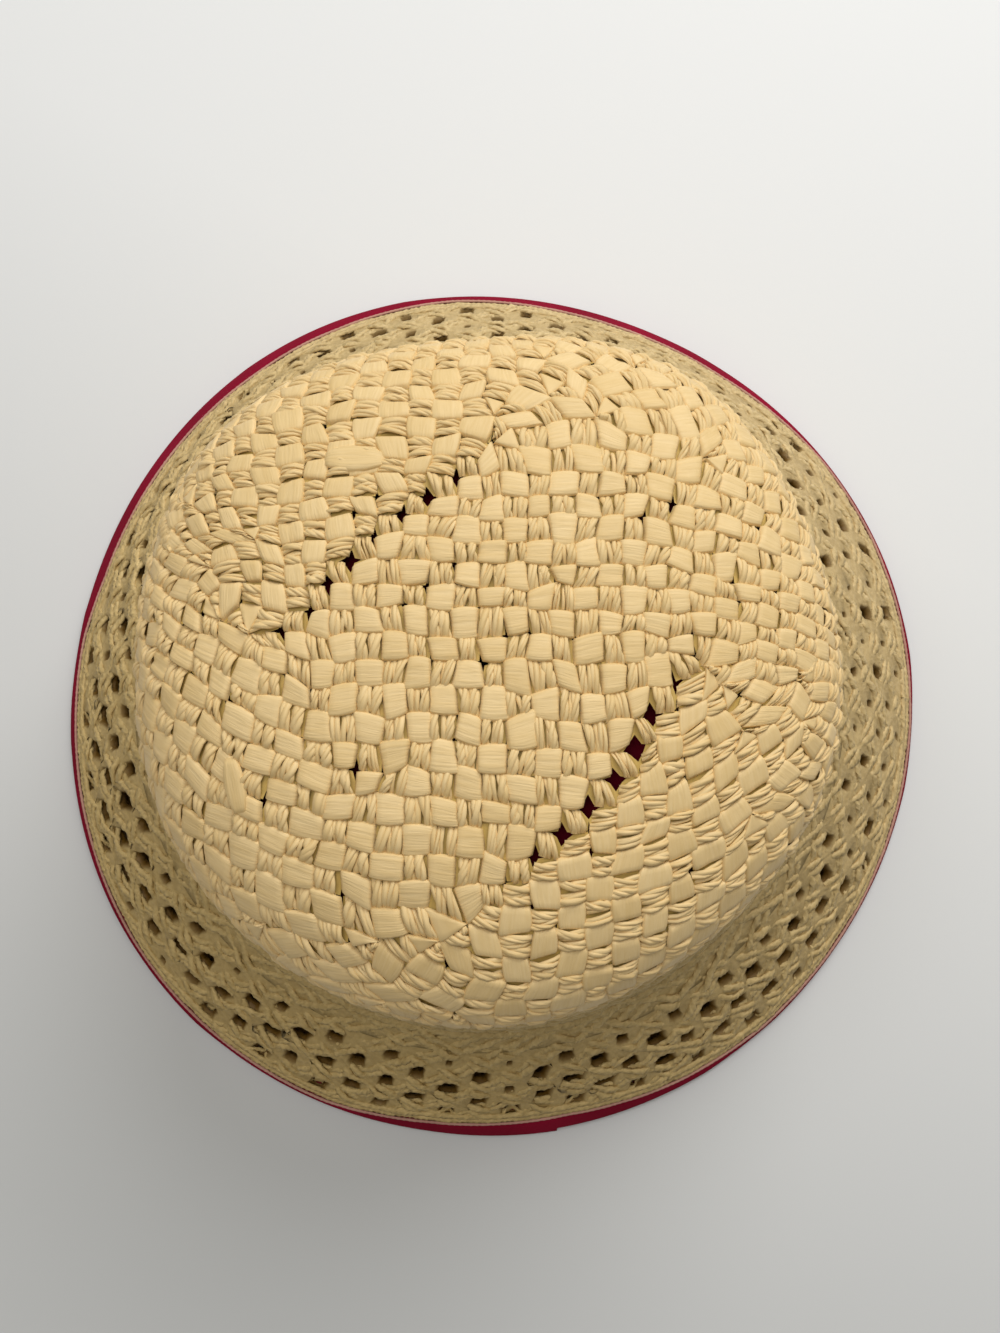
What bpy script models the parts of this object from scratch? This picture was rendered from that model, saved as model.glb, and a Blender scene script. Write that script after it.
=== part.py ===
# A woven straw bucket hat, standing on its rim with the crown up: a hollow crown with two
# diagonal rows of gaps, an openwork brim, a folded cloth binding under the brim's edge, and a
# cloth lining inside the crown. Metres, +Z up, origin on the ground under the hat's middle.

import math

import bmesh
import bpy
from mathutils import Vector

MM = 0.001

# Main sizes of the outer surface
TOP_Z = 114 * MM
SHOULDER_R, SHOULDER_Z = 84.6 * MM, 80 * MM
BASE_R, BASE_Z = 92.5 * MM, 36 * MM
RIM_R, RIM_Z = 127.7 * MM, 2.0 * MM
DOME_POWER = 2.5  # 2 makes the top an ellipse, more makes its shoulder squarer
WALL_FLARE = 1.3  # 1 makes the side wall straight, more starts it upright

# Brim line in (radius, height): a short fillet under the wall, then a bell that steepens
FILLET = 3 * MM
BELL_R, BELL_Z = 110 * MM, 24 * MM

# Walls and clearances
STRAW = 2.2 * MM
LACE = 2.0 * MM
CLOTH = 1.0 * MM
GAP = 0.3 * MM
LINING_GAP = 0.4 * MM  # at the lining's hem, where it is sewn to the crown
LINING_SLACK = 3.0 * MM  # how much further the lining hangs away at the top

# Hand-shaped waves of the outline: (times round, height in mm, degrees of the first crest)
CROWN_WAVES = ((2, 0.96, 27), (3, 1.02, 84), (4, 1.13, 217), (5, 0.96, 298))
RIM_WAVES = ((2, 0.30, 96), (3, 0.96, 0), (4, 0.57, 98))
WAVE_AT_BASE = 0.5  # share of the crown's waves that is left where the brim starts

# Steps used to find the direction of a profile line
CROWN_STEP = 0.005
BRIM_STEP = 0.1 * MM

# Mesh divisions
COLUMNS = 72
CROWN_RINGS = (0.18, 0.33, 0.48, 0.61, 0.73, 0.86, 1.0, 1.33, 1.67, 2.0)  # 1 is the shoulder, 2 the brim

# Openwork: rows of diamond gaps, staggered by half a pitch
LACE_ROWS = (0.40, 0.62, 0.82)  # share of the way from the crown to the straw's edge
LACE_GAPS = COLUMNS // 2
LACE_HALF = 2.2 * MM
BRIM_RINGS = (0.0, 0.09, 0.20, 0.30, LACE_ROWS[0], 0.51, LACE_ROWS[1], 0.72, LACE_ROWS[2], 1.0)

# Gaps along the two seams of the crown's weave:
# (start x, start y, end x, end y, bow, gap width), all in mm
SEAM_ROWS = (
    (-5.8, 39.4, -44.2, 2.4, -3.4, 2.4),
    (40.9, -8.5, 5.4, -52.7, 2.6, 3.2),
)
SEAM_GAPS = 8
SEAM_CUT_Z = 90 * MM  # the cutters start here, under the top and inside the hollow

# How far the cloth edge shows past the straw, seen from above: (degrees, mm)
EDGE_SHOWS = (
    (0, 0.5), (30, 0.6), (55, 1.8), (80, 1.8), (95, 1.3), (125, 2.8), (155, 2.6),
    (172, 1.4), (240, 1.2), (262, 2.2), (281, 3.0), (297, 1.4), (320, 0.7), (345, 0.5),
)
EDGE_SLOPE = 1.7  # length down the brim for each length seen from above, at the edge
TAPE_LEG = 6.5 * MM
TAPE_NOSE = 0.4 * MM  # how far the folded edge is rounded off
TAPE_CREST = 0.1 * MM
TAPE_END_DEGREES, TAPE_END_RUN, TAPE_END_STEP = 279, 17, 0.8 * MM

STRAW_COLOUR = (0.78, 0.63, 0.38, 1)
CRIMSON = (0.24, 0.012, 0.045, 1)


def wave(table, angle):
    """Height of the waves in the table at an angle in radians."""
    return sum(height * MM * math.cos(count * angle - math.radians(crest)) for count, height, crest in table)


def edge_shows(angle):
    """Cloth seen past the straw at an angle in radians, eased between the table's rows."""
    degrees = math.degrees(angle) % 360
    rows = EDGE_SHOWS + ((EDGE_SHOWS[0][0] + 360, EDGE_SHOWS[0][1]),)
    for (at, width), (next_at, next_width) in zip(rows, rows[1:]):
        if at <= degrees <= next_at:
            along = (degrees - at) / (next_at - at)
            ease = along * along * (3 - 2 * along)
            return (width + (next_width - width) * ease) * MM
    raise ValueError("angle outside the table")


def tape_end(angle):
    """Extra width of the cloth edge where its end laps over its start."""
    before_end = (TAPE_END_DEGREES - math.degrees(angle)) % 360
    return TAPE_END_STEP * (1 - before_end / TAPE_END_RUN) if before_end < TAPE_END_RUN else 0.0


def crown_line(at):
    """(radius, height) of the crown: at 0 its middle, at 1 the shoulder, at 2 the brim."""
    if at > 1:
        down = at - 1
        radius = SHOULDER_R + (BASE_R - SHOULDER_R) * down**WALL_FLARE
        return Vector((radius, SHOULDER_Z + (BASE_Z - SHOULDER_Z) * down))
    power = 2 / DOME_POWER
    turn = math.radians(90 * at)
    radius = SHOULDER_R * math.sin(turn) ** power
    return Vector((radius, SHOULDER_Z + (TOP_Z - SHOULDER_Z) * max(math.cos(turn), 0.0) ** power))


def bell_line(t):
    """(radius, height) of the brim: a cubic curve that leaves the wall along its own line."""
    start = Vector((BASE_R, BASE_Z))
    down = (crown_line(2.0) - crown_line(2.0 - CROWN_STEP)).normalized()
    controls = (start, start + down * FILLET, Vector((BELL_R, BELL_Z)), Vector((RIM_R, RIM_Z)))
    weights = ((1 - t) ** 3, 3 * (1 - t) ** 2 * t, 3 * (1 - t) * t**2, t**3)
    return sum((point * weight for point, weight in zip(controls, weights)), Vector((0, 0)))


BELL_SAMPLES = [bell_line(i / 200) for i in range(201)]
BELL_LENGTHS = [0.0]
for last, point in zip(BELL_SAMPLES, BELL_SAMPLES[1:]):
    BELL_LENGTHS.append(BELL_LENGTHS[-1] + (point - last).length)
BRIM_LENGTH = BELL_LENGTHS[-1]


def brim_line(length):
    """(radius, height) of the brim at a length down from the crown; past the edge it runs on."""
    for i in range(1, len(BELL_LENGTHS)):
        if length <= BELL_LENGTHS[i] or i == len(BELL_LENGTHS) - 1:
            part = (length - BELL_LENGTHS[i - 1]) / (BELL_LENGTHS[i] - BELL_LENGTHS[i - 1])
            return BELL_SAMPLES[i - 1].lerp(BELL_SAMPLES[i], part)
    raise ValueError("no brim there")


def inset(line, at, depth, step):
    """Point of a profile line moved inwards by depth, at right angles to the line."""
    along = line(at + step) - line(at - step)
    outward = Vector((-along.y, along.x)).normalized()
    return line(at) - outward * depth


def turned(profile, angle, crown_share, rim_share):
    """A profile point turned to its angle, with the waves of the outline added."""
    radius = profile.x + crown_share * wave(CROWN_WAVES, angle) + rim_share * wave(RIM_WAVES, angle)
    return Vector((radius * math.cos(angle), radius * math.sin(angle), profile.y))


def column_angles():
    return [math.tau * column / COLUMNS for column in range(COLUMNS)]


def rim_middle():
    """Middle of the box round the wavy rim, which becomes the hat's origin."""
    rim = [turned(bell_line(1.0), angle, 0.0, 1.0) for angle in column_angles()]
    sides = [sorted(point[axis] for point in rim) for axis in (0, 1)]
    return Vector([(side[0] + side[-1]) / 2 for side in sides] + [0.0])


MIDDLE = rim_middle()


def placed(profile, angle, crown_share, rim_share):
    return turned(profile, angle, crown_share, rim_share) - MIDDLE


def on_crown(at, angle, depth):
    profile = inset(crown_line, at, depth, CROWN_STEP)
    share = (profile.x / SHOULDER_R) ** 2 if at < 1 else 1 - (1 - WAVE_AT_BASE) * (at - 1)
    return placed(profile, angle, share, 0.0)


def on_brim(length, angle, depth):
    share = max(0.0, min(1.0, length / BRIM_LENGTH))
    profile = inset(brim_line, max(length, GAP), depth, BRIM_STEP)
    return placed(profile, angle, WAVE_AT_BASE * (1 - share), share * share)


def straw_length(angle):
    """Length of the brim's straw, from the crown to its edge."""
    return BRIM_LENGTH - EDGE_SLOPE * edge_shows(angle)


def add_rings(mesh, rings):
    """Joins rings of points, each ring lower or further out than the one before, by quads."""
    made = [[mesh.verts.new(point) for point in ring] for ring in rings]
    for upper, lower in zip(made, made[1:]):
        for j, vertex in enumerate(upper):
            k = (j + 1) % len(upper)
            mesh.faces.new((vertex, lower[j], lower[k], upper[k]))
    return made


def cap_top(mesh, ring, middle):
    top = mesh.verts.new(middle)
    for j, vertex in enumerate(ring):
        mesh.faces.new((top, vertex, ring[(j + 1) % len(ring)]))


def material(name, colour, roughness):
    made = bpy.data.materials.new(name)
    made.use_nodes = True
    shader = made.node_tree.nodes["Principled BSDF"]
    shader.inputs["Base Color"].default_value = colour
    shader.inputs["Roughness"].default_value = roughness
    shader.inputs["Metallic"].default_value = 0.0
    return made


def finished(name, mesh, finish):
    """The mesh as a named object, shaded smooth but for its sharp edges."""
    data = bpy.data.meshes.new(name)
    mesh.to_mesh(data)
    mesh.free()
    data.materials.append(finish)
    data.shade_smooth()
    data.set_sharp_from_angle(angle=math.radians(40))
    thing = bpy.data.objects.new(name, data)
    bpy.context.collection.objects.link(thing)
    return thing


def thicken(thing, thickness):
    wall = thing.modifiers.new("wall", "SOLIDIFY")
    wall.thickness = thickness
    wall.offset = -1
    wall.use_even_offset = True


def crown_surface(depth, slack):
    """Open dome and side wall under the hat's outer surface, by the depth and a slack above the hem."""
    mesh = bmesh.new()
    hem = CROWN_RINGS[-1]
    rings = []
    for at in CROWN_RINGS:
        under = depth + slack * (1 - (at / hem) ** 2)
        rings.append([on_crown(at, angle, under) for angle in column_angles()])
    made = add_rings(mesh, rings)
    cap_top(mesh, made[0], Vector((0, 0, TOP_Z - depth - slack)))
    return mesh


def seam_points(start_x, start_y, end_x, end_y, bow):
    """Even places along a bowed line on the crown's top."""
    start = Vector((start_x, start_y)) * MM - MIDDLE.xy
    run = Vector((end_x - start_x, end_y - start_y)) * MM
    side = Vector((-run.y, run.x)).normalized()
    for i in range(SEAM_GAPS):
        along = i / (SEAM_GAPS - 1)
        yield start + run * along + side * bow * MM * 4 * along * (1 - along), run.normalized()


def add_diamond_post(mesh, place, along, half):
    """An upright post of diamond section, to cut one gap through the top."""
    side = Vector((-along.y, along.x))
    corners = (place + along * half, place + side * half, place - along * half, place - side * half)
    low = [mesh.verts.new((corner.x, corner.y, SEAM_CUT_Z)) for corner in corners]
    high = [mesh.verts.new((corner.x, corner.y, TOP_Z + STRAW)) for corner in corners]
    mesh.faces.new(reversed(low))
    mesh.faces.new(high)
    for j, corner in enumerate(low):
        k = (j + 1) % len(low)
        mesh.faces.new((corner, low[k], high[k], high[j]))


def seam_cutter(finish):
    mesh = bmesh.new()
    for start_x, start_y, end_x, end_y, bow, width in SEAM_ROWS:
        for place, along in seam_points(start_x, start_y, end_x, end_y, bow):
            add_diamond_post(mesh, place, along, width * MM / math.sqrt(2))
    cutter = finished("seam_gap_cutter", mesh, finish)
    cutter.hide_render = True
    cutter.display_type = "WIRE"
    return cutter


def build_crown(straw):
    crown = finished("crown", crown_surface(0.0, 0.0), straw)
    thicken(crown, STRAW)
    gaps = crown.modifiers.new("seam_gaps", "BOOLEAN")
    gaps.operation = "DIFFERENCE"
    gaps.solver = "EXACT"
    gaps.object = seam_cutter(straw)


def build_lining(crimson):
    lining = finished("crown_lining", crown_surface(STRAW + LINING_GAP, LINING_SLACK), crimson)
    thicken(lining, CLOTH)


def build_brim(straw):
    """The bell of the brim, with each lace gap opened at a crossing of the mesh's lines."""
    mesh = bmesh.new()
    rings = []
    for share in BRIM_RINGS:
        rings.append([on_brim(GAP + share * (straw_length(angle) - GAP), angle, 0.0)
                      for angle in column_angles()])
    made = add_rings(mesh, rings)
    crossings = []
    for row, share in enumerate(LACE_ROWS):
        ring = made[BRIM_RINGS.index(share)]
        crossings += [ring[2 * gap + row % 2] for gap in range(LACE_GAPS)]
    opened = bmesh.ops.bevel(mesh, geom=crossings, offset=LACE_HALF, offset_type="OFFSET",
                             segments=1, profile=0.5, affect="VERTICES")
    bmesh.ops.delete(mesh, geom=opened["faces"], context="FACES_ONLY")
    brim = finished("brim", mesh, straw)
    thicken(brim, LACE)


def tape_section(angle):
    """Closed outline of the folded tape at one angle, from the leg's end round the nose."""
    under = LACE + GAP
    below = under + CLOTH
    straw_end = straw_length(angle) + GAP
    nose = BRIM_LENGTH + tape_end(angle)
    leg_end = straw_length(angle) - TAPE_LEG
    shoulder = on_brim(straw_end, angle, TAPE_NOSE)
    front = on_brim(nose, angle, 0.0)
    front.z = TAPE_NOSE
    crest = shoulder.lerp(front, 0.5) + Vector((0, 0, TAPE_CREST))
    outward = Vector((math.cos(angle), math.sin(angle), 0))
    toe = front - outward * TAPE_NOSE
    toe.z = 0.0
    upper_leg = on_brim(leg_end, angle, under)
    lower_leg = on_brim(leg_end, angle, below)
    corner = on_brim(straw_end, angle, under)
    corner.z = max(corner.z, TAPE_NOSE)
    heel_from = on_brim(straw_length(angle), angle, below)
    heel = lower_leg.lerp(heel_from, lower_leg.z / (lower_leg.z - heel_from.z))
    return (upper_leg, corner, shoulder, crest, front, toe, heel, lower_leg)


def build_edge_binding(crimson):
    mesh = bmesh.new()
    sections = [[mesh.verts.new(point) for point in tape_section(angle)] for angle in column_angles()]
    for i, section in enumerate(sections):
        after = sections[(i + 1) % len(sections)]
        for j, vertex in enumerate(section):
            k = (j + 1) % len(section)
            mesh.faces.new((vertex, section[k], after[k], after[j]))
    finished("edge_binding", mesh, crimson)


def main():
    for thing in list(bpy.data.objects):
        bpy.data.objects.remove(thing, do_unlink=True)
    straw = material("straw", STRAW_COLOUR, 0.6)
    crimson = material("crimson_cloth", CRIMSON, 0.75)
    build_crown(straw)
    build_brim(straw)
    build_edge_binding(crimson)
    build_lining(crimson)


main()
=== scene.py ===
import math

import bpy
import numpy as np
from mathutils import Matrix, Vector


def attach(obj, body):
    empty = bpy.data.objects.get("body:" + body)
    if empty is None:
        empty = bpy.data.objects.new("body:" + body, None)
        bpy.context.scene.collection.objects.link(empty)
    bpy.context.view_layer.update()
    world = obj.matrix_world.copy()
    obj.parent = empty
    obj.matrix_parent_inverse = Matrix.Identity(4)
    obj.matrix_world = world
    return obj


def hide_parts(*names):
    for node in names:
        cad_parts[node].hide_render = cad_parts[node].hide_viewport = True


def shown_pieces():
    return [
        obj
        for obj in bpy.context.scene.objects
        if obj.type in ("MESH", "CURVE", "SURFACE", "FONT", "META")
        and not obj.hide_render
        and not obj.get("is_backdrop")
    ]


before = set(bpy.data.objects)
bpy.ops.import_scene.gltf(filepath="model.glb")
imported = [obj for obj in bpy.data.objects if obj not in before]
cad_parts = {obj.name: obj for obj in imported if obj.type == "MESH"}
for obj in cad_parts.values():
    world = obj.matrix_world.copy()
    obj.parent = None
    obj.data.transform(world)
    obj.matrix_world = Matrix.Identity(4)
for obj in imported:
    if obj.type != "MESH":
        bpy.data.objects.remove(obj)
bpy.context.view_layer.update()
mm = 0.001
rng = np.random.default_rng(11)

# shape of the hat, the same lines as the frame
hat = {
    "topZ": 114.0, "shoulderR": 84.6, "shoulderZ": 80.0, "baseR": 92.5, "baseZ": 36.0,
    "rimR": 127.7, "rimZ": 2.0, "domePower": 2.5, "wallFlare": 1.3,
    "fillet": 3.0, "bellR": 110.0, "bellZ": 24.0, "waveAtBase": 0.5,
    # how far the hat is out of round: waves to a turn, their height and where they crest
    "crownWaves": ((2, 0.96, 27), (3, 1.02, 84), (4, 1.13, 217), (5, 0.96, 298)),
    "rimWaves": ((2, 0.30, 96), (3, 0.96, 0), (4, 0.57, 98)),
    "domeSteps": 500, "wallSteps": 120, "bellSteps": 300, "rimSteps": 72,
}


def unit(vectors):
    return vectors / np.maximum(np.linalg.norm(vectors, axis=-1, keepdims=True), 1e-9)


def polar(places):
    return np.hypot(places[:, 0], places[:, 1]), np.arctan2(places[:, 1], places[:, 0])


def fullTurn(steps):
    return np.arange(steps) * math.tau / steps


def grid(*marks):
    return np.meshgrid(*marks, indexing="ij")


def vary(by, *shape):
    return rng.normal(0, by, shape)


def wave(name, angle):
    return sum(height * np.cos(count * angle - math.radians(crest))
               for count, height, crest in hat[name])


def profile(r, z):
    # a line from the middle outwards, with its running length and its outward direction
    length = np.concatenate([[0.0], np.cumsum(np.hypot(np.diff(r), np.diff(z)))])
    alongR, alongZ = np.gradient(r, length), np.gradient(z, length)
    size = np.hypot(alongR, alongZ)
    return {"length": length, "r": r, "z": z, "outR": -alongZ / size, "outZ": alongR / size}


def crownProfile():
    turn = np.linspace(0, math.pi / 2, hat["domeSteps"])
    down = np.linspace(0, 1, hat["wallSteps"])[1:]
    power = 2 / hat["domePower"]
    shoulderR, shoulderZ = hat["shoulderR"], hat["shoulderZ"]
    r = [shoulderR * np.sin(turn) ** power,
         shoulderR + (hat["baseR"] - shoulderR) * down ** hat["wallFlare"]]
    z = [shoulderZ + (hat["topZ"] - shoulderZ) * np.maximum(np.cos(turn), 0) ** power,
         shoulderZ + (hat["baseZ"] - shoulderZ) * down]
    return profile(np.concatenate(r), np.concatenate(z))


def bellProfile():
    t = np.linspace(0, 1, hat["bellSteps"])[:, None]
    lean = Vector((hat["wallFlare"] * (hat["baseR"] - hat["shoulderR"]),
                   hat["baseZ"] - hat["shoulderZ"])).normalized() * hat["fillet"]
    points = np.array([(hat["baseR"], hat["baseZ"]), (hat["baseR"] + lean.x, hat["baseZ"] + lean.y),
                       (hat["bellR"], hat["bellZ"]), (hat["rimR"], hat["rimZ"])])
    weights = np.hstack([(1 - t) ** 3, 3 * (1 - t) ** 2 * t, 3 * (1 - t) * t ** 2, t ** 3])
    curve = weights @ points
    return profile(curve[:, 0], curve[:, 1])


crown = crownProfile()
bell = bellProfile()
shoulderAt = crown["length"][hat["domeSteps"] - 1]
baseAt = crown["length"][-1]
bellEnd = bell["length"][-1]


def turned(r, z, angle, crownShare, rimShare):
    radius = r + crownShare * wave("crownWaves", angle) + rimShare * wave("rimWaves", angle)
    return np.stack([radius * np.cos(angle), radius * np.sin(angle), z + 0 * radius], -1)


def rimMiddle():
    # the frame's origin is under the middle of its box, not at the middle of the waves
    rim = turned(hat["rimR"], hat["rimZ"], fullTurn(hat["rimSteps"]), 0, 1)
    return np.array([(rim[:, axis].max() + rim[:, axis].min()) / 2 for axis in (0, 1)] + [0])


middle = rimMiddle()


def lifted(line, length, lift):
    # radius and height at a length along a line and a lift off it
    r, z, outR, outZ = (np.interp(length, line["length"], line[name])
                        for name in ("r", "z", "outR", "outZ"))
    return r + lift * outR, z + lift * outZ


def onCrown(length, angle, lift):
    r, z = lifted(crown, length, lift)
    down = np.clip((length - shoulderAt) / (baseAt - shoulderAt), 0, 1)
    share = np.where(length < shoulderAt, (r / hat["shoulderR"]) ** 2,
                     1 - (1 - hat["waveAtBase"]) * down)
    return turned(r, z, angle, share, 0) - middle


def onBrim(length, angle, lift):
    share = np.clip(length / bellEnd, 0, 1)
    past = np.maximum(length - bellEnd, 0)
    r, z = lifted(bell, length, lift)
    r, z = r + past * bell["outZ"][-1], z - past * bell["outR"][-1]
    return turned(r, z, angle, hat["waveAtBase"] * (1 - share), share ** 2) - middle


# meshes from arrays
def addPiece(name, points, faces, uv=None, shade=None, material=None, deep=None):
    # points, uv and shade may be lists of arrays, one for each strand
    mesh = bpy.data.meshes.new(name)
    points = np.reshape(points, (-1, 3)) * mm
    mesh.vertices.add(len(points))
    mesh.vertices.foreach_set("co", points.astype(np.float32).ravel())
    mesh.loops.add(faces.size)
    mesh.loops.foreach_set("vertex_index", faces.astype(np.int32).ravel())
    mesh.polygons.add(len(faces))
    mesh.polygons.foreach_set("loop_start", np.arange(0, faces.size, 4, dtype=np.int32))
    mesh.polygons.foreach_set("loop_total", np.full(len(faces), 4, dtype=np.int32))
    mesh.update(calc_edges=True)
    if uv is not None:
        uv = np.reshape(uv, (-1, 2))[faces.ravel()]
        mesh.uv_layers.new(name="strand").data.foreach_set("uv", uv.astype(np.float32).ravel())
    for label, values in (("shade", shade), ("deep", deep)):
        if values is not None:
            attribute = mesh.attributes.new(label, "FLOAT", "POINT")
            attribute.data.foreach_set("value", np.ravel(values).astype(np.float32))
    mesh.validate()
    mesh.shade_smooth()
    thing = bpy.data.objects.new(name, mesh)
    bpy.context.collection.objects.link(thing)
    if material:
        mesh.materials.append(material)
    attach(thing, "root")
    return thing


def patchFaces(count, rows, columns, closed=False):
    # quads for patches of points, closed where the last column meets the first
    i, j = grid(np.arange(rows - 1), np.arange(columns if closed else columns - 1))
    k = (j + 1) % columns
    quads = np.stack([i * columns + j, i * columns + k,
                      (i + 1) * columns + k, (i + 1) * columns + j], -1).reshape(-1, 4)
    return (quads + (np.arange(count) * rows * columns)[:, None, None]).reshape(-1, 4)


# the net of the crown's weave
# Its cells are squares of a grid that runs straight across the middle and out to four sides.
# Past four poles the rows bend round them as quarter rings, in which pairs of new strands
# start. Along two slanted seams between poles flat and twisted strands change places.
net = {
    "reach": 9, "rings": 26, "pitch": 5.45, "keptPast": 46,
    # cells in each quarter ring, from its pole outwards
    "counts": (0, 2, 4, 4, 6, 8, 10, 10, 12, 14, 14, 16, 16, 16, 16, 16, 16, 18),
    # where new pairs start in a quarter ring, and the steps from pole to pole and pair to pair
    "firstPair": 0.3, "nextPole": 0.1, "nextPair": 0.38,
    # the grid before the springs: its middle, its pitches and the bows of the seams
    "startX": -0.8, "startY": -2.1, "left": 5.42, "right": 5.21, "up": 5.3, "down": 6.05,
    "lowerBow": (2.4, -3.4), "upperBow": (-1.6, 1.6),
    # zones in which the rows are drawn round the hat: facing, half width, turn, start
    "twists": ((197, 80, -24, 40), (138, 45, 8, 30), (22, 70, -10, 45), (325, 55, 14, 32)),
    "twistOver": 50,
}


def turnKey(i, j, quarter):
    for _ in range(quarter):
        i, j = -j, i
    return i, j


def twisted(places):
    at, angle = polar(places)
    for facing, halfWidth, turn, start in net["twists"]:
        away = (np.degrees(angle) - facing + 180) % 360 - 180
        share = np.cos(np.clip(away / halfWidth, -1, 1) * math.pi / 2) ** 2
        outwards = np.clip((at - start) / net["twistOver"], 0, 1)
        angle = angle + math.radians(turn) * share * outwards
    return np.stack([at * np.cos(angle), at * np.sin(angle)], -1)


def startPlace(i, j):
    x = net["startX"] + i * (net["right"] if i > 0 else net["left"])
    y = net["startY"] + j * (net["up"] if j > 0 else net["down"])
    if i * j < 0:
        bow = math.prod(math.sin(math.pi * min(abs(k) / net["reach"], 1)) for k in (i, j))
        bowX, bowY = net["lowerBow"] if i > 0 else net["upperBow"]
        x, y = x + bowX * bow, y + bowY * bow
    return x, y


def buildNet():
    reach, rings = net["reach"], net["rings"]
    index, places, cells = {}, [], []

    def vertex(key, place):
        if key not in index:
            index[key] = len(places)
            places.append(place)
        return index[key]

    def gridVertex(i, j):
        # the first ring line of each pole has one vertex for both of its ends
        for quarter in range(4):
            if (i, j) == turnKey(1, reach, quarter):
                i, j = turnKey(0, reach + 1, quarter)
        return vertex((i, j), startPlace(i, j))

    def addCell(corners, upright, flat):
        # the strand on top runs along a cell's first side
        cells.append((corners[1:] + corners[:1] if upright else corners, flat))

    size = reach + rings
    for i in range(-size, size):
        for j in range(-size, size):
            x, y = i + 0.5, j + 0.5
            if any(a > 0 and b > reach for a, b in (turnKey(x, y, k) for k in range(4))):
                # the quarter rings take this place
                continue
            sideways = (x < 0 < y and y > x + reach) or (y < 0 < x and y < x - reach)
            corners = [gridVertex(i, j), gridVertex(i + 1, j),
                       gridVertex(i + 1, j + 1), gridVertex(i, j + 1)]
            upright = (i + j) % 2 == 1
            addCell(corners, upright, upright if sideways else not upright)
    for quarter in range(4):
        line = [gridVertex(*turnKey(0, reach + 1, quarter))]
        poleX, poleY = startPlace(*turnKey(0, reach, quarter))
        start = net["firstPair"] + net["nextPole"] * quarter
        for ring in range(1, rings):
            count = net["counts"][min(ring, len(net["counts"]) - 1)]
            inner = list(line)
            fresh = count - (len(line) - 1)
            while fresh > 0:
                # new pairs start all over the quarter ring, away from the last ones
                start = (start + net["nextPair"]) % 1
                at = int(round((len(inner) - 1) * start))
                inner[at:at] = [inner[at], inner[at]]
                fresh -= 2
            outer = [gridVertex(*turnKey(0, reach + ring + 1, quarter))]
            radius = (ring + 1) * net["pitch"]
            for k in range(1, count):
                angle = math.pi / 2 * (1 - k / count) + math.pi / 2 * quarter
                place = (poleX + radius * math.cos(angle), poleY + radius * math.sin(angle))
                outer.append(vertex((quarter, ring, k, "ring"), place))
            outer.append(gridVertex(*turnKey(ring + 1, reach, quarter)))
            for k in range(count):
                # twisted strands run along the ring, flat strands run outwards
                flat = (ring + k) % 2 == 0
                addCell([inner[k], inner[k + 1], outer[k + 1], outer[k]], flat, flat)
            line = outer
    return index, twisted(np.array(places)), cells


springs = {
    "steps": 450, "brace": 0.35, "ease": 0.8, "slopeOver": 0.5,
    # the net reaches past the foot of the wall, so the wall is drawn on downwards
    "wallLonger": 60, "wallWider": 2,
    # how firmly the net is held where it started, most in the middle of the crown
    "hold": 0.3, "holdFrom": 1.5, "holdRun": 60, "holdRange": (0.03, 1.0), "holdY": -4,
}


def relaxNet(places, cells):
    # springs between neighbours, on the hat's surface
    length = np.append(crown["length"], baseAt + springs["wallLonger"])
    r = np.append(crown["r"], hat["baseR"] + springs["wallWider"])
    z = np.append(crown["z"], hat["baseZ"] - springs["wallLonger"])
    edges, braces = set(), set()
    for corners, _ in cells:
        sides = zip(corners, corners[1:] + corners[:1])
        edges.update((min(a, b), max(a, b)) for a, b in sides if a != b)
        if len(set(corners)) == 4:
            braces.update((tuple(corners[0::2]), tuple(corners[1::2])))
    edges, braces = np.array(sorted(edges)), np.array(sorted(braces))
    pairs = np.vstack([edges, braces])
    counts, size = (len(edges), len(braces)), len(places)
    rest = net["pitch"] * np.repeat([1, math.sqrt(2)], counts)
    strength = np.repeat([1, springs["brace"]], counts)
    weight = np.maximum(np.bincount(pairs.ravel(), np.repeat(strength, 2), size), 1)
    away = np.hypot(places[:, 0], places[:, 1] - springs["holdY"]) / springs["holdRun"]
    hold = np.clip(springs["holdFrom"] - away, *springs["holdRange"])[:, None] * springs["hold"]
    plan = places.copy()
    for step in range(springs["steps"]):
        at = np.maximum(polar(plan)[0], 0.1)
        out = plan / at[:, None]
        around = np.stack([-out[:, 1], out[:, 0]], -1)
        radius = np.interp(at, length, r)
        points = np.hstack([out * radius[:, None], np.interp(at, length, z)[:, None]])
        ahead, behind = at + springs["slopeOver"], at - springs["slopeOver"]
        slope = np.stack([np.interp(ahead, length, line) - np.interp(behind, length, line)
                          for line in (r, z)], -1)
        apart = points[pairs[:, 1]] - points[pairs[:, 0]]
        gap = np.maximum(np.linalg.norm(apart, axis=1), 1e-6)
        push = (apart.T * (strength * (gap - rest) / gap)).T
        move = [np.bincount(pairs[:, 0], part, size) - np.bincount(pairs[:, 1], part, size)
                for part in push.T]
        move = np.stack(move, -1) / weight[:, None]
        down = (move[:, :2] * out).sum(1) * slope[:, 0] + move[:, 2] * slope[:, 1]
        side = (move[:, :2] * around).sum(1) * at / np.maximum(radius, 0.1)
        plan = plan + springs["ease"] * (out * down[:, None] + around * side[:, None])
        plan = plan + hold * (places - plan)
    return polar(plan)


print("net of the weave")
netIndex, netPlaces, netCells = buildNet()
netReach, _ = polar(netPlaces)
netCells = [cell for cell in netCells if netReach[cell[0]].mean() < baseAt + net["keptPast"]]
netAt, netAngle = relaxNet(netPlaces, netCells)
print("cells", len(netCells))

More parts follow.
